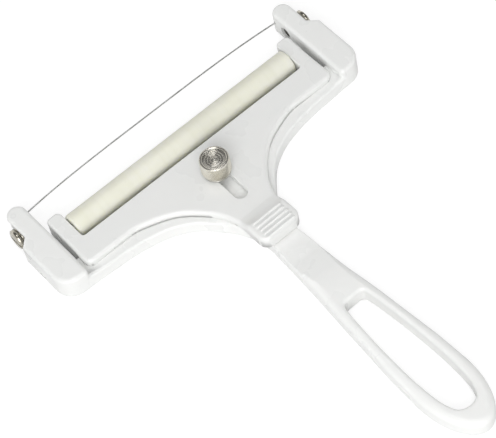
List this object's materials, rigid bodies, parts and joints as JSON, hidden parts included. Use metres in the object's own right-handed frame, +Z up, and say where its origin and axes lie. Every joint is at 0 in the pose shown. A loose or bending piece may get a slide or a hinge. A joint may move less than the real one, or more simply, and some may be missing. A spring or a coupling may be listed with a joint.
{
  "type": "wire cheese slicer",
  "caption": "Hand-held wire cheese slicer: cast T-shaped frame with a looped handle, a taut wire between its arms, and a sliding roller carriage clamped by a thumb screw",
  "frame": {"origin": "under the middle of the object's outer box, on the plane of the frame's flat underside", "axes": "+X along the wire from left to right arm, +Y from the handle to the wire, +Z up through the thumb screw"},
  "size_m": [0.1476, 0.1896, 0.0176],
  "materials": {
    "frame_enamel": "white enamel over cast aluminium, smooth gloss",
    "carriage_enamel": "white enamel over cast aluminium, smooth gloss",
    "roller_plastic": "ivory plastic, satin",
    "axle_steel": "drawn steel rod",
    "knob_nickel": "nickel-plated, turned rings on top and a fine knurl round the side",
    "washer_nickel": "nickel-plated flat washer",
    "wire_steel": "drawn stainless wire",
    "screw_steel": "plated steel, slightly warm",
    "small_washer_steel": "plated steel, slightly warm"
  },
  "bodies": {
    "frame": {"frame_casting": "frame_enamel", "cheese_wire": "wire_steel", "wire_screw_left": "screw_steel", "wire_screw_right": "screw_steel", "wire_washer_left": "small_washer_steel", "wire_washer_right": "small_washer_steel"},
    "carriage": {"carriage_casting": "carriage_enamel", "roller_axle": "axle_steel"},
    "roller_body": {"roller": "roller_plastic"},
    "clamp_screw": {"thumb_screw": "knob_nickel", "thumb_screw_washer": "washer_nickel"}
  },
  "joints": [
    {"name": "carriage_slide", "type": "slide", "parent": "frame", "child": "carriage", "axis": [0, 1, 0], "range_m": [0, 0.009]},
    {"name": "roller_spin", "type": "hinge", "parent": "carriage", "child": "roller_body", "pos_m": [0, 0.07345, 0.00565], "axis": [1, 0, 0], "continuous": true},
    {"name": "thumb_screw_turn", "type": "hinge", "parent": "frame", "child": "clamp_screw", "pos_m": [0, 0.0519, 0.0103], "axis": [0, 0, 1], "range_deg": [0, 360]}
  ]
}
